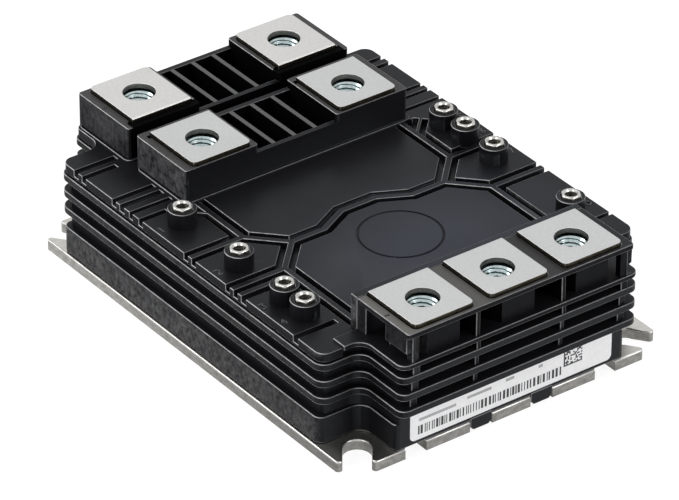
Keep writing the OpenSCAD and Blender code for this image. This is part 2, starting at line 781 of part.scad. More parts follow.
// Gel round the tiles, with room for the wires and for what stands on the tracks
module potting_gel() color([0.8, 0.84, 0.88, 0.6]) difference() {
    wire_room = die_z + wire_span / 2 + 1;
    translate([0, 0, plate_t]) linear_extrude(gel_h) difference() {
        inner_plan(clear);
        for (t = tiles, f = [foot_rear, foot_front, foot_ac]) translate(on_tile(t, f))
            square([foot_w, bus_t] + 2 * [clear, clear], center = true);
        for (p = aux_sites) translate(p) circle(d = aux_pin_d + 2 * clear);
    }
    for (t = tiles) translate([tile_place(t)[0], tile_place(t)[1], wire_room / 2])
        cube([tile_x + 2 * clear, tile_y + 2 * clear, wire_room], center = true);
}

base_plate();
frame_seal();
housing_frame();
housing_lid();
dc_rear_busbar();
dc_front_busbar();
ac_busbar();
dc_terminal_nuts();
ac_terminal_nuts();
label();
thermistor();
potting_gel();
for (i = [1:8]) aux_terminal(aux_sites[i - 1]);
for (i = [1:6]) {
    substrate(tiles[i - 1]);
    copper(tiles[i - 1]);
    dies(tiles[i - 1]);
    wires(tiles[i - 1]);
}
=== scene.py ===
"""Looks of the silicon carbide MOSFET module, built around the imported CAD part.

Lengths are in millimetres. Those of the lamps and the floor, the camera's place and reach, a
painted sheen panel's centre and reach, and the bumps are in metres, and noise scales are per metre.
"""
import math
import random

import bmesh
import bpy
from mathutils import Matrix, Vector


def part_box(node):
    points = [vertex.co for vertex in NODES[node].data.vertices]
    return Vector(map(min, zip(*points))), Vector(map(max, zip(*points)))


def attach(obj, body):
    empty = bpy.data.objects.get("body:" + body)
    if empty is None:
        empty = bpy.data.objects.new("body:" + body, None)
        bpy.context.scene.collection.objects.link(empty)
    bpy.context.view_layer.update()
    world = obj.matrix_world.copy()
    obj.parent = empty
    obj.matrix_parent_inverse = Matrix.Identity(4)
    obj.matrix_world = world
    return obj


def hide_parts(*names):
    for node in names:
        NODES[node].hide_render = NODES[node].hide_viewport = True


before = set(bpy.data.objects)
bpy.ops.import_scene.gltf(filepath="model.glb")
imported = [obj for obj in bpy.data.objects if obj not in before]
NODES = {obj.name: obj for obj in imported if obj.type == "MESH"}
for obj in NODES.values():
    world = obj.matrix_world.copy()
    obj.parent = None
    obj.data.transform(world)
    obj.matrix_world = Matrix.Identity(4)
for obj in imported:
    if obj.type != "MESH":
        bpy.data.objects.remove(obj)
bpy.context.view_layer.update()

MM = 0.001
scene = bpy.context.scene
scene.view_settings.view_transform = "Standard"

# Camera, at the photo's place
CAMERA_PLACE = (-0.712476, -0.950845, 0.769681)
CAMERA_RIGHT = (0.80297, -0.59600, 0.00459)
CAMERA_FORWARD = (0.50474, 0.67588, -0.53705)
CAMERA_LENS = 292.5
CAMERA_SENSOR = 36
CAMERA_REACH = 20


def place_camera():
    data = bpy.data.cameras.new("camera")
    data.sensor_fit = "HORIZONTAL"
    data.sensor_width = CAMERA_SENSOR
    data.lens = CAMERA_LENS
    data.clip_end = CAMERA_REACH
    camera = bpy.data.objects.new("camera", data)
    right = Vector(CAMERA_RIGHT).normalized()
    forward = Vector(CAMERA_FORWARD).normalized()
    up = right.cross(forward)
    turn = Matrix((right, up, -forward)).transposed().to_4x4()
    camera.matrix_world = Matrix.Translation(CAMERA_PLACE) @ turn
    scene.collection.objects.link(camera)
    scene.camera = camera


# Places on the part
LID_TOP = 29.5
DECK = 38.85
BOSS_SEAT = 32.95
GATE = (0, -22.4)
GATE_R = 10.9
AC_Y = -61.6
PITCH = 23.1
DC_FRONT_Y = 30.95
DC_REAR_Y = 59.0
DC_SITES = [(x, y) for x in (-PITCH, PITCH) for y in (DC_FRONT_Y, DC_REAR_Y)]
AC_SITES = [(k * PITCH, AC_Y) for k in (-1, 0, 1)]
AUX_X = 41.2
AUX_LEFT_Y = (14.2, -10.3, -29.4, -37.9)
AUX_RIGHT_Y = (13.7, 4.5, -7.5, -39)
AUX_SITES = [(-AUX_X, y) for y in AUX_LEFT_Y] + [(AUX_X, y) for y in AUX_RIGHT_Y]
POCKET_TOP = 36.5
POCKET_HALF = 8
POCKETS = ((22.75, 41.75), (48.2, 68.0))
REAR_RIM = (46.7, 49.3)
RIM_SIDE = 33.7

# Places where the looks change
# Height where the painted side light turns from its upper tone to its lighter lower one
LIT_FLECK_FADE_Z = (13, 9)
BLOCK_SIDE_X = (33, 34, 36, 37)
BLOCK_FRONT_Y = (-48, -52)
BLOCK_FOOT_Z = (28, 29)
WALL_X = (48, 48.5)
BAY_Z = (27.5, 38.4)
BAY_Y = -49
BAY_LEFT_X = -29
TOWER_Z = (29.8, 38.4)
TOWER_Y = 22.4
TOWER_HALF = 23.5
BOSS_Z = (28.5, 37)
BOSS_Y = -55
BOSS_REACH = 9
HOLE_REACH = 4.6


# Node helpers
def new_material(name):
    mat = bpy.data.materials.new(name)
    mat.use_nodes = True
    tree = mat.node_tree
    return mat, tree, tree.nodes["Principled BSDF"]


def node(tree, kind, **values):
    """A new node with its inputs, or else its properties, set by name."""
    made = tree.nodes.new(kind)
    for key, value in values.items():
        if key in made.inputs:
            made.inputs[key].default_value = value
        else:
            setattr(made, key, value)
    return made


def even(scale):
    """The same noise scale on each axis."""
    return (scale, scale, scale)


def placed_coords(tree, scale, centre=(0, 0, 0)):
    """Object coordinates, stretched by scale on each axis about a centre."""
    coords = node(tree, "ShaderNodeTexCoord")
    start = [-a * b for a, b in zip(centre, scale)]
    mapping = node(tree, "ShaderNodeMapping", Scale=scale, Location=start)
    tree.links.new(coords.outputs["Object"], mapping.inputs["Vector"])
    return mapping.outputs["Vector"]


def noise(tree, scale, detail=4, roughness=0.55):
    made = node(tree, "ShaderNodeTexNoise", Scale=1.0, Detail=detail, Roughness=roughness)
    tree.links.new(placed_coords(tree, scale), made.inputs["Vector"])
    return made.outputs["Fac"]


def ramp(tree, fac, low, high, start=0.3, end=0.7):
    """A colour between low and high as the factor goes from start to end."""
    made = node(tree, "ShaderNodeValToRGB")
    made.color_ramp.elements[0].position = start
    made.color_ramp.elements[1].position = end
    made.color_ramp.elements[0].color = (*low, 1)
    made.color_ramp.elements[1].color = (*high, 1)
    tree.links.new(fac, made.inputs["Fac"])
    return made.outputs["Color"]


def spread(tree, value, low, high, start=0.3, end=0.7):
    """A number between low and high as the value goes from start to end."""
    made = node(tree, "ShaderNodeMapRange")
    made.inputs["From Min"].default_value = start
    made.inputs["From Max"].default_value = end
    made.inputs["To Min"].default_value = low
    made.inputs["To Max"].default_value = high
    tree.links.new(value, made.inputs["Value"])
    return made.outputs["Result"]


def maths(tree, operation, first, second=None):
    """An operation on a socket and another socket or a number, kept between 0 and 1."""
    made = node(tree, "ShaderNodeMath", operation=operation, use_clamp=True)
    tree.links.new(first, made.inputs[0])
    if isinstance(second, (int, float)):
        made.inputs[1].default_value = second
    elif second is not None:
        tree.links.new(second, made.inputs[1])
    return made.outputs["Value"]


def product(tree, first, second):
    return maths(tree, "MULTIPLY", first, second)


def larger(tree, first, second):
    return maths(tree, "MAXIMUM", first, second)


def mixed(tree, fac, first, second):
    """A colour from first to second; each is a socket or a plain colour."""
    made = node(tree, "ShaderNodeMix", data_type="RGBA")
    fac_in, first_in, second_in = made.inputs[0], made.inputs[6], made.inputs[7]
    tree.links.new(fac, fac_in)
    for socket, colour in ((first_in, first), (second_in, second)):
        if isinstance(colour, tuple):
            socket.default_value = (*colour, 1)
        else:
            tree.links.new(colour, socket)
    return made.outputs[2]


def looks(tree, axis, sign=0):
    """How far a face looks along an axis: to one side, or to both for sign 0."""
    geometry = node(tree, "ShaderNodeNewGeometry")
    split = node(tree, "ShaderNodeSeparateXYZ")
    tree.links.new(geometry.outputs["True Normal"], split.inputs["Vector"])
    if sign == 0:
        return maths(tree, "ABSOLUTE", split.outputs[axis])
    return product(tree, split.outputs[axis], sign)


def along(tree, axis, start, end):
    """0 to 1 from one place to another along an axis."""
    coords = node(tree, "ShaderNodeTexCoord")
    split = node(tree, "ShaderNodeSeparateXYZ")
    tree.links.new(coords.outputs["Object"], split.inputs["Vector"])
    return spread(tree, split.outputs[axis], 0.0, 1.0, start * MM, end * MM)


def bump(tree, shader, height, strength, distance):
    made = node(tree, "ShaderNodeBump", Strength=strength, Distance=distance)
    tree.links.new(height, made.inputs["Height"])
    tree.links.new(made.outputs["Normal"], shader.inputs["Normal"])


def coat(tree, shader, colour, broad, rough):
    """Links a colour, and a roughness that varies with broad blotches."""
    tree.links.new(colour, shader.inputs["Base Color"])
    tree.links.new(spread(tree, broad, rough[0], rough[1]), shader.inputs["Roughness"])


# Materials: low and high are the ends of the grain's colour, rough those of the roughness
BLOTCHES = even(70)
PLASTIC_GRAIN = even(2600)
PLASTIC_BLOTCHES = even(55)
PLASTIC_TINT = (0.86, 0.93, 1.0, 1)
PLASTIC_BUMP = (0.25, 0.00004)
BUMP_STRENGTH = 0.3
PANEL_CORE = 0.25
PANEL_STEP = 0.2
STREAKS = (1300, 700, 520)
STREAK_RANGE = (0.36, 0.66)
CLOUDS = (160, 120, 120)
CLOUD_LEAST = 0.65
SHEET_GRAIN = (900, 2600, 2600)
SHEET_BLOTCHES = even(90)
SHEET_ROUGH = (0.34, 0.46)
SHEET_BUMP = 0.00002
CUT_GRAIN = (700, 700, 1500)
# Bare copper of the cut edges, darkened with painted shade, which also goes on the front folds
CUT_AND_SHADE_TONES = ((0.03, 0.026, 0.019), (0.09, 0.08, 0.06))
# Painted highlights on the rounded plastic edges, brightest towards -X, and painted shade under
# them
EDGE_GRAIN = (500, 500, 900)
EDGE_DIM = ((0.08, 0.08, 0.084), (0.16, 0.16, 0.164))
EDGE_HIGHLIGHT = ((0.26, 0.26, 0.27), (0.60, 0.60, 0.61))
EDGE_UNDER_SHADE = (0.02, 0.02, 0.022)
EDGE_ROUGH = (0.3, 0.42)
EDGE_BUMP = 0.00003
NICKEL_GRAIN = (420, 2200, 2200)
NICKEL_TOP = ((0.50, 0.49, 0.46), (0.60, 0.59, 0.56))
NICKEL_SIDE = ((0.22, 0.215, 0.20), (0.43, 0.42, 0.40))
# Painted shade on the plate's front and on its left side towards the front
NICKEL_SHADE = (0.06, 0.058, 0.052)
NICKEL_SHADE_Y = (40, -60)
NICKEL_SHADE_MOST = 0.58
NICKEL_FRONT_SHARE = 0.5
NICKEL_ROUGH = (0.3, 0.45)


def surface(name, low, high, rough, grain, metallic=0.0, bump_size=0.00003):
    """A material whose colour and relief vary with fine grain, and its roughness with blotches."""
    mat, tree, shader = new_material(name)
    fine = noise(tree, grain)
    broad = noise(tree, BLOTCHES, detail=3)
    coat(tree, shader, ramp(tree, fine, low, high), broad, rough)
    shader.inputs["Metallic"].default_value = metallic
    bump(tree, shader, fine, BUMP_STRENGTH, bump_size)
    return mat


def plastic(name, low, high, rough, specular, panel=None, lit_flecks=None):
    """Glass-filled black plastic, with a paler painted sheen on a panel, or fibre streaks
    lightening the sides as painted light, where asked.
    """
    mat, tree, shader = new_material(name)
    fine = noise(tree, PLASTIC_GRAIN)
    broad = noise(tree, PLASTIC_BLOTCHES, detail=3)
    colour = ramp(tree, fine, low, high)
    # Painted sheen: the panel's pale colour stands in for the lamps' reflection
    if panel:
        colour = mixed(tree, painted_sheen_share(tree, panel), colour, panel["pale"])
    # Painted side light: fibre streaks lighten the faces that look sideways, more so low down
    if lit_flecks:
        tone = mixed(tree, along(tree, "Z", *LIT_FLECK_FADE_Z), lit_flecks["upper"], lit_flecks["lower"])
        colour = mixed(tree, lit_fleck_share(tree, lit_flecks), colour, tone)
    coat(tree, shader, colour, broad, rough)
    shader.inputs["Specular IOR Level"].default_value = specular
    shader.inputs["Specular Tint"].default_value = PLASTIC_TINT
    bump(tree, shader, fine, *PLASTIC_BUMP)
    return mat


def painted_sheen_share(tree, panel):
    """A painted oval sheen on the level faces above a floor, full inside its core."""
    reach = panel["reach"]
    length = node(tree, "ShaderNodeVectorMath", operation="LENGTH")
    oval = placed_coords(tree, (1 / reach[0], 1 / reach[1], 0), panel["centre"])
    tree.links.new(oval, length.inputs[0])
    sheen = spread(tree, length.outputs["Value"], 1.0, 0.0, PANEL_CORE, 1.0)
    above = along(tree, "Z", panel["floor"] - PANEL_STEP, panel["floor"])
    return product(tree, product(tree, sheen, above), looks(tree, "Z", 1))


def lit_fleck_share(tree, lit_flecks):
    """Fibre streaks as painted light on the long outer sides, fewer towards one end: fall is from
    y, to y, least.
    """
    streak = noise(tree, STREAKS, detail=6, roughness=0.75)
    streak = spread(tree, streak, 0.0, 1.0, *STREAK_RANGE)
    cloud = spread(tree, noise(tree, CLOUDS, detail=3), CLOUD_LEAST, 1.0)
    inner, inner_full, outer_full, outer = BLOCK_SIDE_X
    left, right = [product(tree, along(tree, "X", side * inner, side * inner_full),
                           along(tree, "X", side * outer, side * outer_full)) for side in (-1, 1)]
    blocks = larger(tree, larger(tree, left, right), along(tree, "Y", *BLOCK_FRONT_Y))
    where = product(tree, blocks, along(tree, "Z", *BLOCK_FOOT_Z))
    if lit_flecks["ribbed"]:
        left, right = [along(tree, "X", side * WALL_X[0], side * WALL_X[1]) for side in (-1, 1)]
        where = larger(tree, where, larger(tree, left, right))
    start, end, least = lit_flecks["fall"]
    share = product(tree, cloud, spread(tree, along(tree, "Y", start, end), least, 1.0, 0.0, 1.0))
    return product(tree, product(tree, streak, share), product(tree, where, looks(tree, "X")))


def sheet(name, low, high, turn=(0.45, 0.8)):
    """Plated sheet metal with dark cut edges, bare copper deepened by painted shade, and the same
    painted shade on the front folds; turn is where a bend takes it.
    """
    mat, tree, shader = new_material(name)
    fine = noise(tree, SHEET_GRAIN)
    broad = noise(tree, SHEET_BLOTCHES, detail=3)
    face = ramp(tree, fine, low, high)
    edge = ramp(tree, noise(tree, CUT_GRAIN), *CUT_AND_SHADE_TONES)
    side = larger(tree, looks(tree, "X"), looks(tree, "Y", -1))
    colour = mixed(tree, spread(tree, side, 0.0, 1.0, *turn), face, edge)
    coat(tree, shader, colour, broad, SHEET_ROUGH)
    shader.inputs["Metallic"].default_value = 1.0
    bump(tree, shader, fine, BUMP_STRENGTH, SHEET_BUMP)
    return mat


def highlit_edge(name, dim, highlight):
    """Rounded plastic edges: a painted highlight, bright towards -X and dimmer elsewhere, with
    painted shade underneath.
    """
    mat, tree, shader = new_material(name)
    fine = noise(tree, EDGE_GRAIN)
    plain = ramp(tree, fine, *[[dim * c for c in tone] for tone in EDGE_DIM])
    bright = ramp(tree, fine, *[[highlight * c for c in tone] for tone in EDGE_HIGHLIGHT])
    colour = mixed(tree, spread(tree, looks(tree, "X", -1), 0.0, 1.0, 0.2, 0.6), plain, bright)
    upward = spread(tree, looks(tree, "Z", 1), 0.5, 1.0, 0.0, 0.5)
    colour = mixed(tree, upward, EDGE_UNDER_SHADE, colour)
    coat(tree, shader, colour, noise(tree, BLOTCHES), EDGE_ROUGH)
    bump(tree, shader, fine, BUMP_STRENGTH, EDGE_BUMP)
    return mat


def nickel(name):
    """Nickel plating: satin top and darker mottled sides, with painted shade on the front and on
    the left side towards the front.
    """
    mat, tree, shader = new_material(name)
    fine = noise(tree, NICKEL_GRAIN)
    mottle = noise(tree, EDGE_GRAIN, detail=5, roughness=0.7)
    top = ramp(tree, fine, *NICKEL_TOP)
    side = ramp(tree, mottle, *NICKEL_SIDE, 0.32, 0.68)
    left = product(tree, along(tree, "Y", *NICKEL_SHADE_Y), looks(tree, "X", -1))
    shade = larger(tree, left, product(tree, looks(tree, "Y", -1), NICKEL_FRONT_SHARE))
    shade = spread(tree, shade, 0.0, NICKEL_SHADE_MOST, 0.0, 1.0)
    side = mixed(tree, shade, side, NICKEL_SHADE)
    colour = mixed(tree, spread(tree, looks(tree, "Z"), 0.0, 1.0, 0.3, 0.8), side, top)
    coat(tree, shader, colour, noise(tree, BLOTCHES), NICKEL_ROUGH)
    shader.inputs["Metallic"].default_value = 1.0
    bump(tree, shader, mottle, BUMP_STRENGTH, EDGE_BUMP)
    return mat


def gel(name):
    """Clear silicone gel."""
    mat = surface(name, (0.74, 0.79, 0.84), (0.82, 0.86, 0.90), (0.08, 0.16), even(300),
                  bump_size=0.00002)
    shader = mat.node_tree.nodes["Principled BSDF"]
    shader.inputs["Transmission Weight"].default_value = 0.6
    shader.inputs["IOR"].default_value = 1.4
    return mat


FRAME_TONES = ((0.005, 0.005, 0.006), (0.010, 0.010, 0.0115))
FRAME_ROUGH = (0.34, 0.46)
# Painted sheen on the AC deck: a paler colour on its level faces for the lamps' reflection
FRAME_PAINTED_SHEEN = {"centre": (-0.042, -0.0640, 0), "reach": (0.062, 0.04), "floor": 38.8,
               "pale": (0.14, 0.137, 0.127)}
# Painted light on the frame's sides: fibre streaks, lighter low down, fewer towards the front
FRAME_LIT_FLECKS = {"upper": (0.052, 0.052, 0.054), "lower": (0.125, 0.125, 0.128),
                "fall": (-60, 10, 0.68), "ribbed": True}
LID_TONES = ((0.006, 0.006, 0.007), (0.011, 0.011, 0.013))
LID_ROUGH = (0.3, 0.42)
# Painted sheen on the lid's top: a paler blue-grey for the lamps' reflection
LID_PAINTED_SHEEN = {"centre": (0.004, -0.034, 0), "reach": (0.046, 0.036), "floor": 29.4,
             "pale": (0.030, 0.034, 0.046)}
# Painted light on the lid's sides: fibre streaks, fewer towards the rear
LID_LIT_FLECKS = {"upper": (0.135, 0.135, 0.139), "lower": (0.135, 0.135, 0.139),
              "fall": (58, 30, 0.42), "ribbed": False}
LID_SPECULAR = 0.13
# Painted shade in the bays, the tower's pockets and its rim before the rear tabs
PAINTED_SHADE_TONES = ((0.0008, 0.0008, 0.001), (0.002, 0.002, 0.0022))
# Painted light on the tops of the webs between the tower's pockets: a lighter grey
WEB_LIT_TONES = ((0.075, 0.075, 0.077), (0.13, 0.13, 0.133))
# Painted sheen on the tower's deck tops: a lighter, speckled grey
DECK_SHEEN_TONES = ((0.028, 0.028, 0.029), (0.078, 0.077, 0.075))
METAL = {"metallic": 1.0, "bump_size": 0.00001}
PRINT = {"rough": (0.5, 0.6), "grain": even(3000), "bump_size": 0.000005}

MATS = {
    "frame": plastic("black_plastic", *FRAME_TONES, FRAME_ROUGH, 0.16, panel=FRAME_PAINTED_SHEEN),
    "frame_side": plastic("black_plastic_side", *FRAME_TONES, FRAME_ROUGH, 0.05,
                          lit_flecks=FRAME_LIT_FLECKS),
    "lid": plastic("black_lid_plastic", *LID_TONES, LID_ROUGH, LID_SPECULAR, panel=LID_PAINTED_SHEEN),
    "lid_side": plastic("black_lid_side", *LID_TONES, LID_ROUGH, 0.04, lit_flecks=LID_LIT_FLECKS),
    "recess": plastic("black_painted_shade", *PAINTED_SHADE_TONES, (0.6, 0.75), 0.02),
    "web": plastic("black_web", *WEB_LIT_TONES, LID_ROUGH, LID_SPECULAR),
    "deck": plastic("black_deck", *DECK_SHEEN_TONES, LID_ROUGH, LID_SPECULAR),
    "edge": highlit_edge("black_plastic_edge", dim=1.0, highlight=1.0),
    "lid_edge": highlit_edge("black_lid_edge", dim=0.7, highlight=1.4),
    "nickel": nickel("nickel_plating"),
    "nickel_edge": surface("nickel_edge", (0.40, 0.395, 0.375), (0.54, 0.53, 0.51),
                           (0.25, 0.35), (420, 420, 2200), metallic=1.0, bump_size=0.00002),
    "busbar": sheet("plated_busbar", (0.50, 0.505, 0.505), (0.57, 0.575, 0.575)),
    # Painted shade on the walls of the terminal holes
    "tab_hole": surface("plated_tab_hole", (0.20, 0.195, 0.18), (0.34, 0.33, 0.31),
                        SHEET_ROUGH, (900, 900, 2600), **METAL),
    "rear_busbar": sheet("plated_rear_busbar", (0.57, 0.565, 0.555), (0.65, 0.645, 0.635),
                         turn=(0.75, 0.95)),
    "zinc": surface("zinc_plated_steel", (0.36, 0.44, 0.45), (0.55, 0.63, 0.64),
                    (0.2, 0.32), even(1600), **METAL),
    "terminal": surface("plated_terminal", (0.44, 0.435, 0.41), (0.60, 0.595, 0.57),
                        (0.2, 0.32), even(1500), **METAL),
    # Painted shade on the flanks of the auxiliary terminals' hexagons and, near black, in their
    # threaded bores
    "flank": surface("terminal_flank", (0.10, 0.095, 0.08), (0.30, 0.285, 0.25),
                     (0.25, 0.4), even(700), **METAL),
    "bore": surface("terminal_bore", (0.012, 0.011, 0.009), (0.06, 0.056, 0.048),
                    (0.25, 0.4), even(1500), **METAL),
    "label": surface("label_film", (0.90, 0.90, 0.91), (0.95, 0.95, 0.96),
                     (0.4, 0.5), even(900), bump_size=0.00001),
    "ink": surface("label_ink", (0.015, 0.015, 0.017), (0.04, 0.04, 0.042), **PRINT),
    "pale_ink": surface("pale_label_ink", (0.35, 0.35, 0.36), (0.5, 0.5, 0.51), **PRINT),
    "adhesive": surface("grey_adhesive", (0.10, 0.10, 0.105), (0.16, 0.16, 0.165),
                        (0.5, 0.65), even(1200)),
    "ceramic": surface("tile_ceramic", (0.72, 0.72, 0.69), (0.84, 0.84, 0.81),
                       (0.5, 0.6), even(1800)),
    "copper": surface("tile_copper", (0.56, 0.27, 0.16), (0.68, 0.36, 0.23),
                      (0.3, 0.42), even(1200), metallic=1.0),
    "chip": surface("chip_metal", (0.22, 0.24, 0.28), (0.34, 0.36, 0.40),
                    (0.2, 0.3), even(2400), metallic=0.8),
    "wire": surface("wire_aluminium", (0.70, 0.70, 0.70), (0.82, 0.82, 0.82),
                    (0.25, 0.35), even(1800), metallic=1.0),
    "sensor": surface("sensor_body", (0.05, 0.05, 0.055), (0.10, 0.10, 0.105),
                      (0.4, 0.55), even(2400)),
    "gel": gel("silicone_gel"),
}


# Piece helpers
def dress(obj, name):
    obj.data.materials.clear()
    obj.data.materials.append(MATS[name])


def add_piece(name, bm, slot, *materials):
    """A piece from a mesh; its faces' material numbers count along the materials."""
    mesh = bpy.data.meshes.new(name)
    for material in materials:
        mesh.materials.append(MATS[material])
    bm.to_mesh(mesh)
    bm.free()
    obj = bpy.data.objects.new(name, mesh)
    scene.collection.objects.link(obj)
    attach(obj, "root")
    return obj


def smooth_faces(obj, angle):
    """Smooth shading in which the large faces keep their own normals."""
    mesh = obj.data
    mesh.polygons.foreach_set("use_smooth", [True] * len(mesh.polygons))
    mesh.set_sharp_from_angle(angle=math.radians(angle))
    weighted = obj.modifiers.new("weighted", "WEIGHTED_NORMAL")
    weighted.keep_sharp = True
    bpy.context.view_layer.objects.active = obj
    bpy.ops.object.modifier_apply(modifier=weighted.name)


def reach_to(sites, x, y):
    """Distance in plan to the nearest of some sites."""
    return min(math.hypot(x - a, y - b) for a, b in sites)


# Which material each face of a rounded piece takes: numbers along the piece's materials
PLAIN, SIDE, PAINTED_SHADE, WEB, DECK_TOP = range(5)
HOLE_WALL = 1
FRAME_MATERIALS = ("frame", "frame_side", "recess", "edge")
LID_MATERIALS = ("lid", "lid_side", "recess", "web", "deck", "lid_edge")
# How far a normal leans: at least, to look up or to a side; at most, upright boss and hole walls
LEVEL = 0.9
TURNED = 0.6
BOSS_TILT = 0.2
HOLE_TILT = 0.5
# Reach of the tower's zones past the rim's front, below the deck, and about the webs' height
RIM_LEAD = 0.2
RIM_DEPTH = 0.3
WEB_BAND = 0.2


def tower_zone(middle):
    """The tower's rim before the rear tabs, in painted shade; the webs between its pockets, lit
    with painted light on top; or None.
    """
    x, y, z = middle
    in_rim = REAR_RIM[0] - RIM_LEAD < y < REAR_RIM[1] and abs(x) < RIM_SIDE
    if in_rim and z > DECK - RIM_DEPTH:
        return PAINTED_SHADE
    in_row = any(low < y < high for low, high in POCKETS)
    if in_row and abs(x) < POCKET_HALF and abs(z - POCKET_TOP) < WEB_BAND:
        return WEB
    return None


def plastic_zone(middle, normal):
    """A face of the housing: sides with fibre streaks of painted light or dull ones, recesses in
    painted shade, and the plain rest.
    """
    x, y, z = middle
    sideways = abs(normal.x) > TURNED
    in_bay = BAY_Z[0] < z < BAY_Z[1] and y < BAY_Y and x > BAY_LEFT_X
    if in_bay and (sideways or normal.y < -TURNED):
        return PAINTED_SHADE if sideways else SIDE
    in_tower = TOWER_Z[0] < z < TOWER_Z[1] and y > TOWER_Y and abs(x) < TOWER_HALF
    if in_tower and (sideways or abs(normal.y) > TURNED):
        return PAINTED_SHADE
    return SIDE if sideways else PLAIN


def tab_zone(middle, normal):
    """A face of a tab: the wall of a terminal hole, darkened with painted shade, or the plain rest.
    """
    near = reach_to(DC_SITES + AC_SITES, middle.x, middle.y) < HOLE_REACH
    return HOLE_WALL if near and abs(normal.z) < HOLE_TILT else PLAIN


def lid_edge_zone(middle, normal):
    """Dark plastic as painted shade for the edges of the tower's webs and its shaded rim, or None.
    """
    return PAINTED_SHADE if tower_zone(middle) else None


def frame_edge_zone(middle, normal):
    """Dull plastic for the upright edges of the nut bosses in the front bays, or None."""
    x, y, z = middle
    upright = abs(normal.z) < BOSS_TILT and BOSS_Z[0] < z < BOSS_Z[1]
    on_boss = y < BOSS_Y and min(abs(x - a) for a, b in AC_SITES) < BOSS_REACH
    return SIDE if upright and on_boss else None


# Rounded copies of CAD nodes
PLATE_EDGE = 0.45
PLATE_EDGE_ABOVE = 2.9
FRAME_EDGE = 0.2
LID_EDGE = 0.15
TAB_EDGE = 0.18
EDGE_STEPS = 2
EDGE_ANGLE = 30
FLAT_ANGLE = 0.6
SHELL_SMOOTH = 50
WELD = 0.002
LEVEL_REACH = 0.05
FAR_Y = 100
# Edges that stay sharp: their places, and bands about those
GATE_BAND = 0.7
LID_BAND = 0.5
SEAT_REACH = 3.3
SEAT_BAND = 0.1
WEB_END_X = 34.8
WEB_END_Y = -67
WEB_END_Z = 13.5
WEB_END_BAND = 0.8
POST = (43.1, -51.8)
POST_BAND = (1.5, 0.6)
# Flat cuts that part the tower's zones: height of the faces, place of the cut, largest y
TOWER_CUTS = [(POCKET_TOP, (0, y, 0), FAR_Y) for row in POCKETS for y in row]
TOWER_CUTS += [(DECK, (0, REAR_RIM[1], 0), FAR_Y)]
TOWER_CUTS += [(DECK, (x, 0, 0), REAR_RIM[1]) for x in (-RIM_SIDE, RIM_SIDE)]


def keeps_sharp(middle):
    """True for edges too fine to round: gate circle, boss seats, ends of front webs, posts."""
    x, y, z = middle
    on_lid = abs(z - LID_TOP) < LID_BAND
    gate = on_lid and abs(math.hypot(x - GATE[0], y - GATE[1]) - GATE_R) < GATE_BAND
    seat = z < BOSS_SEAT + SEAT_BAND and reach_to(AUX_SITES, x, y) < SEAT_REACH
    web = abs(abs(x) - WEB_END_X) < WEB_END_BAND and y < WEB_END_Y and z < WEB_END_Z
    post = abs(abs(x) - POST[0]) < POST_BAND[0] and abs(y - POST[1]) < POST_BAND[1]
    return gate or seat or web or post


def cut_tops(bm, cuts):
    """Cuts level faces across, while they are triangles, and marks the tower's zones on them."""
    for z, place, limit in cuts:
        tops = [face for face in bm.faces if face.normal.z > LEVEL
                and abs(face.verts[0].co.z - z * MM) < LEVEL_REACH * MM
                and face.calc_center_median().y < limit * MM]
        parts = (part for face in tops for part in (face, *face.edges, *face.verts))
        bmesh.ops.bisect_plane(bm, geom=list(dict.fromkeys(parts)), dist=WELD * MM,
                               plane_co=[v * MM for v in place], plane_no=[abs(v) for v in place])
        bm.normal_update()
    for face in bm.faces:
        face.material_index = PLAIN
        if cuts and face.normal.z > LEVEL:
            middle = face.calc_center_median() / MM
            on_deck = middle.y > 0 and abs(middle.z - DECK) < LEVEL_REACH
            face.material_index = tower_zone(middle) or (DECK_TOP if on_deck else PLAIN)


def softened(name, cad, width, slot, *materials, above=-1, zone=None, cuts=(), edge_zone=None):
    """A copy that stands for a CAD node; its outer edges are rounded, in the last material."""
    edge_material = len(materials) - 1
    bm = bmesh.new()
    bm.from_mesh(NODES[cad].data)
    bmesh.ops.remove_doubles(bm, verts=bm.verts, dist=WELD * MM)
    bm.normal_update()
    cut_tops(bm, cuts)
    bmesh.ops.dissolve_limit(bm, angle_limit=math.radians(FLAT_ANGLE), verts=bm.verts,
                             edges=bm.edges, delimit={"MATERIAL"})
    bm.normal_update()
    for face in bm.faces:
        if zone and face.material_index == PLAIN:
            face.material_index = zone(face.calc_center_median() / MM, face.normal)
    edges = []
    for edge in bm.edges:
        middle = (edge.verts[0].co + edge.verts[1].co) / 2 / MM
        paired = len(edge.link_faces) == 2
        convex = paired and edge.calc_face_angle_signed(0) > math.radians(EDGE_ANGLE)
        if convex and middle.z > above and not keeps_sharp(middle):
            edges.append(edge)
    bmesh.ops.bevel(bm, geom=edges, offset=width * MM, offset_type="OFFSET", segments=EDGE_STEPS,
                    profile=0.5, affect="EDGES", clamp_overlap=False, loop_slide=True,
                    material=edge_material)
    bm.normal_update()
    for face in bm.faces:
        if edge_zone and face.material_index == edge_material:
            marked = edge_zone(face.calc_center_median() / MM, face.normal)
            face.material_index = marked or edge_material
    obj = add_piece(name, bm, slot, *materials)
    smooth_faces(obj, SHELL_SMOOTH)
    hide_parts(cad)


# Turned pieces, from rings of points; a thread's values are its depth and its pitch
RING_STEPS = 48
THREAD_SLOPE = 1.25
THREADED_SMOOTH = 40


def ring(bm, radius, z, centre):
    """A ring of points; its radius is a number, or a function of the angle."""
    made = []
    for k in range(RING_STEPS):
        a = 2 * math.pi * k / RING_STEPS
        r = radius(a) if callable(radius) else radius
        x, y = centre[0] + r * math.cos(a), centre[1] + r * math.sin(a)
        made.append(bm.verts.new((x * MM, y * MM, z * MM)))
    return made


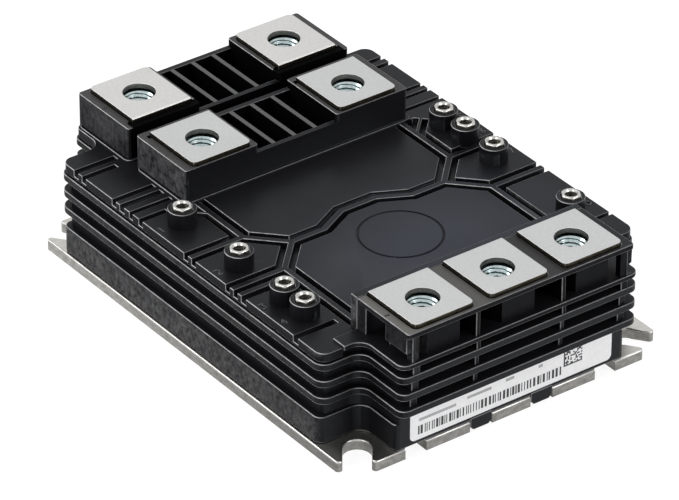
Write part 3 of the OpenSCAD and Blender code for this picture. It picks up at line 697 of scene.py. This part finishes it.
def join_rings(bm, rings, closed=False):
    pairs = list(zip(rings, rings[1:]))
    if closed:
        pairs.append((rings[-1], rings[0]))
    for low, high in pairs:
        for k in range(len(low)):
            m = (k + 1) % len(low)
            bm.faces.new((low[k], low[m], high[m], high[k]))


def hexagon(flats):
    """Distance from the middle of a hexagon to its outline, with corners on the X axis."""
    def reach(a):
        turn = (a % (math.pi / 3)) - math.pi / 6
        return flats / 2 / math.cos(turn)
    return reach


def thread_radius(core, depth, pitch, z, a):
    """Radius of an inner thread at a height and an angle; its root is flat."""
    phase = (z / pitch - a / (2 * math.pi)) % 1
    return core + depth * min(1, THREAD_SLOPE * (1 - abs(2 * phase - 1)))


# Nuts under the terminal tabs, with real threads
NUT_TOP = 37.8
NUT_H = 6.5
NUT_FLATS = 13
NUT_TURNED_R = 6.35
NUT_BREAK = 0.4
NUT_CORE = 3.4
NUT_CHAMFER = 0.75
NUT_ROWS = 56
NUT_THREAD = (0.5, 1.25)


def nut_rings(bm, centre):
    hexa = hexagon(NUT_FLATS)
    low, high = NUT_TOP - NUT_H, NUT_TOP

    def turned(a):
        return min(hexa(a), NUT_TURNED_R)
    rings = []
    for k in range(NUT_ROWS + 1):
        z = low + NUT_H * k / NUT_ROWS
        lead = NUT_CORE + NUT_CHAMFER - min(z - low, high - z)

        def bore(a, z=z, lead=lead):
            return max(thread_radius(NUT_CORE, *NUT_THREAD, z, a), lead)
        rings.append(ring(bm, bore, z, centre))
    for outline, z in ((turned, high), (hexa, high - NUT_BREAK), (hexa, low + NUT_BREAK),
                       (turned, low)):
        rings.append(ring(bm, outline, z, centre))
    join_rings(bm, rings, closed=True)


def nuts(name, cad, centres):
    bm = bmesh.new()
    for centre in centres:
        nut_rings(bm, centre)
    bmesh.ops.recalc_face_normals(bm, faces=bm.faces)
    obj = add_piece(name, bm, "zinc_steel", "zinc")
    smooth_faces(obj, THREADED_SMOOTH)
    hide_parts(cad)


# Auxiliary terminals: a pin, a stem, a hexagon with a sunk top, and a threaded bore
AUX_COUNT = 8
AUX_PIN_R = 0.65
AUX_STEM_R = 2.2
AUX_STEM_FOOT = 26.6
AUX_HEX_H = 1.9
AUX_FLATS = 4.8
# Rings of the hexagon's turned top: largest radius, inset from the flats, drop below the top
AUX_CROWN = ((2.7, 0, 0.4), (2.5, 0, 0.15), (2.35, 0.12, 0))
# Rings of the sunk hole: radius, drop below the top
AUX_SINK = ((1.8, 0), (1.5, 0.45))
AUX_CORE = 1.25
AUX_THREAD = (0.22, 0.5)
AUX_BORE_DROP = 0.6
AUX_BORE_H = 4.3
AUX_ROWS = 40
AUX_BORE_LOW = 28
AUX_BORE_REACH = 1.6
AUX_FLANK_REACH = 2
AUX_FLANK_DROP = 0.3
FLANK, BORE = 1, 2


def aux_outline(bottom, top):
    """Radius and height of each ring of a terminal, from the pin's end round to its thread."""
    hexa = hexagon(AUX_FLATS)

    def turned(limit, inset):
        return lambda a: min(hexa(a) - inset, limit)
    outline = [(AUX_PIN_R, bottom), (AUX_PIN_R, AUX_STEM_FOOT), (AUX_STEM_R, AUX_STEM_FOOT),
               (AUX_STEM_R, top - AUX_HEX_H), (hexa, top - AUX_HEX_H)]
    outline += [(turned(limit, inset), top - drop) for limit, inset, drop in AUX_CROWN]
    outline += [(radius, top - drop) for radius, drop in AUX_SINK]
    for k in range(AUX_ROWS + 1):
        z = top - AUX_BORE_DROP - AUX_BORE_H * k / AUX_ROWS

        def bore(a, z=z):
            return thread_radius(AUX_CORE, *AUX_THREAD, z, a)
        outline.append((bore, z))
    return outline


def aux_terminal(index):
    cad = f"aux_terminal_{index}"
    low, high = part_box(cad)
    centre = ((low.x + high.x) / 2 / MM, (low.y + high.y) / 2 / MM)
    top, bottom = high.z / MM, low.z / MM
    bm = bmesh.new()
    rings = [ring(bm, radius, z, centre) for radius, z in aux_outline(bottom, top)]
    join_rings(bm, rings)
    bm.faces.new(rings[-1])
    bm.faces.new(rings[0])
    bmesh.ops.recalc_face_normals(bm, faces=bm.faces)
    # Painted shade: darker flanks and a near-black threaded bore
    for face in bm.faces:
        middle = face.calc_center_median() / MM
        away = math.hypot(middle.x - centre[0], middle.y - centre[1])
        if middle.z > AUX_BORE_LOW and away < AUX_BORE_REACH:
            face.material_index = BORE
        elif away > AUX_FLANK_REACH and middle.z < top - AUX_FLANK_DROP:
            face.material_index = FLANK
    obj = add_piece(f"screw_terminal_{index}", bm, "plated_terminal", "terminal", "flank", "bore")
    smooth_faces(obj, THREADED_SMOOTH)
    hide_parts(cad)


# Small moulded signs: numbers at the auxiliary terminals, polarity signs at the main terminals
STROKES = {
    "1": [(0.1, 0.8), (0.3, 1), (0.3, 0)],
    "2": [(0, 1), (0.6, 1), (0.6, 0.5), (0, 0), (0.6, 0)],
    "3": [(0, 1), (0.6, 1), (0.25, 0.55), (0.6, 0.35), (0.4, 0), (0, 0)],
    "4": [(0.45, 0), (0.45, 1), (0, 0.35), (0.6, 0.35)],
    "5": [(0.6, 1), (0, 1), (0, 0.55), (0.55, 0.5), (0.55, 0.1), (0, 0)],
    "6": [(0.5, 1), (0.05, 0.45), (0.05, 0.05), (0.55, 0.05), (0.55, 0.45), (0.05, 0.45)],
    "7": [(0, 1), (0.6, 1), (0.2, 0)],
    "8": [(0.1, 0.5), (0.1, 1), (0.5, 1), (0.5, 0.5), (0, 0.5), (0, 0), (0.6, 0), (0.6, 0.5),
          (0.1, 0.5)],
    "-": [(0, 0.5), (0.6, 0.5)],
    "|": [(0.3, 0.2), (0.3, 0.8)],
    "~": [(0, 0.4), (0.15, 0.6), (0.45, 0.4), (0.6, 0.6)],
}
SIGN_THICK = 0.12
SIGN_LIFT = 0.04
NUMBER_H = 2.1
NUMBER_STROKE = 0.3
NUMBER_LEFT_X = -48.0
NUMBER_RIGHT_X = 46.6
NUMBER_DOWN = 0.6
POLARITY_H = 2.0
POLARITY_STROKE = 0.32
POLARITY_X = -34.55
POLARITY_DOWN = 1.0
# A plus is a minus with an upright stroke
POLARITY = (("-", DC_FRONT_Y), ("-", DC_REAR_Y), ("|", DC_REAR_Y), ("~", AC_Y))


def write_sign(bm, sign, place, height, width):
    """A raised sign of thin bars, its lower left corner at the place; up is towards +Y."""
    points = [(place[0] + x * height, place[1] + y * height) for x, y in STROKES[sign]]
    for (x0, y0), (x1, y1) in zip(points, points[1:]):
        made = bmesh.ops.create_cube(bm, size=1)["verts"]
        size = (math.hypot(x1 - x0, y1 - y0) + width, width, SIGN_THICK)
        middle = ((x0 + x1) / 2 * MM, (y0 + y1) / 2 * MM, (place[2] + SIGN_LIFT) * MM)
        turn = Matrix.Rotation(math.atan2(y1 - y0, x1 - x0), 4, "Z")
        matrix = Matrix.Translation(middle) @ turn @ Matrix.Diagonal((*[v * MM for v in size], 1))
        bmesh.ops.transform(bm, matrix=matrix, verts=made)


def signs():
    numbers = bmesh.new()
    for i, (x, y) in enumerate(AUX_SITES):
        place = (NUMBER_LEFT_X if x < 0 else NUMBER_RIGHT_X, y - NUMBER_DOWN, LID_TOP)
        write_sign(numbers, str(i + 1), place, NUMBER_H, NUMBER_STROKE)
    add_piece("terminal_numbers", numbers, "black_plastic", "sensor")
    polarity = bmesh.new()
    for sign, y in POLARITY:
        write_sign(polarity, sign, (POLARITY_X, y - POLARITY_DOWN, DECK), POLARITY_H,
                   POLARITY_STROKE)
    add_piece("polarity_signs", polarity, "black_plastic", "ink")


# Print on the label: generic bars and squares
PRINT_SEED = 7
PRINT_PROUD = 0.02
STRIPES_X = (-29.2, 15.2)
STRIPES_Z = (5.75, 8.3)
STRIPE_WIDTHS = (0.28, 0.28, 0.45, 0.7)
STRIPE_GAPS = (0.3, 0.45, 0.6)
SQUARES = (14, 13)
SQUARES_CORNER = (16.3, 7.7)
SQUARE_W = 0.42
SQUARE_H = SQUARE_W * 0.97
SQUARES_SHARE = 0.45
# Left end, right end and foot of each pale line
PALE_LINES = ((-29.0, -17.5, 9.6), (-14.0, -6.5, 10.2), (-2.0, 0.6, 10.6), (8.3, 9.6, 10.6))
PALE_LINE_H = 0.8


def bar(bm, low, high):
    """A closed box between two corners."""
    made = bmesh.ops.create_cube(bm, size=1)["verts"]
    size = [(b - a) * MM for a, b in zip(low, high)]
    middle = [(a + b) / 2 * MM for a, b in zip(low, high)]
    matrix = Matrix.Translation(middle) @ Matrix.Diagonal((*size, 1))
    bmesh.ops.transform(bm, matrix=matrix, verts=made)


def label_print():
    rng = random.Random(PRINT_SEED)
    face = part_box("label")[0].y / MM
    out = face - PRINT_PROUD
    dark = bmesh.new()
    x, end = STRIPES_X
    while x < end:
        width = rng.choice(STRIPE_WIDTHS)
        bar(dark, (x, out, STRIPES_Z[0]), (x + width, face, STRIPES_Z[1]))
        x += width + rng.choice(STRIPE_GAPS)
    columns, rows = SQUARES
    for i in range(columns):
        for j in range(rows):
            on_edge = i == 0 or j == 0
            on_far_edge = (i % 2 == 0 and j == rows - 1) or (j % 2 == 0 and i == columns - 1)
            if on_edge or on_far_edge or rng.random() < SQUARES_SHARE:
                left = SQUARES_CORNER[0] + i * SQUARE_W
                foot = SQUARES_CORNER[1] + j * SQUARE_H
                bar(dark, (left, out, foot), (left + SQUARE_W, face, foot + SQUARE_H))
    add_piece("label_bars", dark, "label_film", "ink")
    pale = bmesh.new()
    for left, right, foot in PALE_LINES:
        bar(pale, (left, out, foot), (right, face, foot + PALE_LINE_H))
    add_piece("label_lines", pale, "label_film", "pale_ink")


# Floor and light
FLOOR_SIZE = 6
FLOOR_Z = -0.0003
FLOOR_PAPER = (0.85, 0.85, 0.85, 1)
FLOOR_SEEN = (0.3, 0.3, 0.3, 1)
FLOOR_GLOW = 0.86
WHITE = (1, 1, 1, 1)
WORLD_LEVEL = 0.5
LAMP_AIM = (0, 0, 0.02)
# Place, width and depth, and radiance of each lamp
LAMPS = {
    "key": ((-0.75, 0.75, 0.75), (0.5, 0.5), 6),
    "left_fill": ((-1.2, -0.3, 0.5), (0.6, 0.5), 3),
    "front_fill": ((0.5, -1.1, 0.55), (0.6, 0.5), 5.4),
    "overhead": ((0.1, 0.15, 1.0), (0.8, 0.6), 1.2),
}


def seen_rays(tree):
    """1 for rays that show the background: from the camera, a mirror or glass."""
    path = node(tree, "ShaderNodeLightPath")
    first = larger(tree, path.outputs["Is Camera Ray"], path.outputs["Is Glossy Ray"])
    return larger(tree, first, path.outputs["Is Transmission Ray"])


def floor_material():
    """Plain paper for light; nearly white with a soft shadow where it is seen."""
    mat, tree, shader = new_material("floor")
    tree.nodes.remove(shader)
    paper = node(tree, "ShaderNodeBsdfDiffuse", Color=FLOOR_PAPER)
    soft = node(tree, "ShaderNodeBsdfDiffuse", Color=FLOOR_SEEN)
    glow = node(tree, "ShaderNodeEmission", Color=WHITE, Strength=FLOOR_GLOW)
    both = node(tree, "ShaderNodeAddShader")
    mix = node(tree, "ShaderNodeMixShader")
    tree.links.new(soft.outputs[0], both.inputs[0])
    tree.links.new(glow.outputs[0], both.inputs[1])
    tree.links.new(seen_rays(tree), mix.inputs["Fac"])
    tree.links.new(paper.outputs[0], mix.inputs[1])
    tree.links.new(both.outputs[0], mix.inputs[2])
    tree.links.new(mix.outputs[0], tree.nodes["Material Output"].inputs["Surface"])
    return mat


def make_floor():
    bm = bmesh.new()
    bmesh.ops.create_grid(bm, x_segments=1, y_segments=1, size=FLOOR_SIZE)
    mesh = bpy.data.meshes.new("floor")
    bm.to_mesh(mesh)
    bm.free()
    floor = bpy.data.objects.new("floor", mesh)
    floor.location.z = FLOOR_Z
    scene.collection.objects.link(floor)
    floor.data.materials.append(floor_material())


def make_world():
    """White where it is seen, and dimmer as light."""
    world = bpy.data.worlds.new("studio")
    scene.world = world
    world.use_nodes = True
    tree = world.node_tree
    back = tree.nodes["Background"]
    back.inputs["Color"].default_value = WHITE
    level = spread(tree, seen_rays(tree), WORLD_LEVEL, 1.0, 0.0, 1.0)
    tree.links.new(level, back.inputs["Strength"])


def softbox(name, place, size, radiance):
    data = bpy.data.lights.new(name, "AREA")
    data.shape = "RECTANGLE"
    data.size, data.size_y = size
    data.energy = radiance * math.pi * size[0] * size[1]
    lamp = bpy.data.objects.new(name, data)
    lamp.location = place
    lamp.rotation_euler = (Vector(LAMP_AIM) - Vector(place)).to_track_quat("-Z", "Y").to_euler()
    scene.collection.objects.link(lamp)


place_camera()

softened("plate", "base_plate", PLATE_EDGE, "nickel_plate", "nickel", "nickel_edge",
         above=PLATE_EDGE_ABOVE)
softened("frame_shell", "housing_frame", FRAME_EDGE, "black_plastic", *FRAME_MATERIALS,
         zone=plastic_zone, edge_zone=frame_edge_zone)
softened("lid_shell", "housing_lid", LID_EDGE, "black_plastic", *LID_MATERIALS,
         zone=plastic_zone, cuts=TOWER_CUTS, edge_zone=lid_edge_zone)
softened("dc_rear_tabs", "dc_rear_busbar", TAB_EDGE, "plated_busbar",
         "rear_busbar", "tab_hole", "rear_busbar", zone=tab_zone)
softened("dc_front_tabs", "dc_front_busbar", TAB_EDGE, "plated_busbar",
         "busbar", "tab_hole", "busbar", zone=tab_zone)
softened("ac_tabs", "ac_busbar", TAB_EDGE, "plated_busbar",
         "busbar", "tab_hole", "busbar", zone=tab_zone)
nuts("dc_nuts", "dc_terminal_nuts", DC_SITES)
nuts("ac_nuts", "ac_terminal_nuts", AC_SITES)
for i in range(1, AUX_COUNT + 1):
    aux_terminal(i)
signs()
label_print()

# CAD nodes that stay as they are, with a better material
DRESSED = {"label": "label", "frame_seal": "adhesive", "thermistor": "sensor", "potting_gel": "gel"}
TILE_PARTS = {"substrate": "ceramic", "copper": "copper", "mosfet_dies": "chip",
              "bond_wires": "wire"}
TILES = 6
for cad, material in DRESSED.items():
    dress(NODES[cad], material)
for i in range(1, TILES + 1):
    for part, material in TILE_PARTS.items():
        dress(NODES[f"{part}_{i}"], material)

make_floor()
make_world()
for name, (place, size, radiance) in LAMPS.items():
    softbox(name, place, size, radiance)
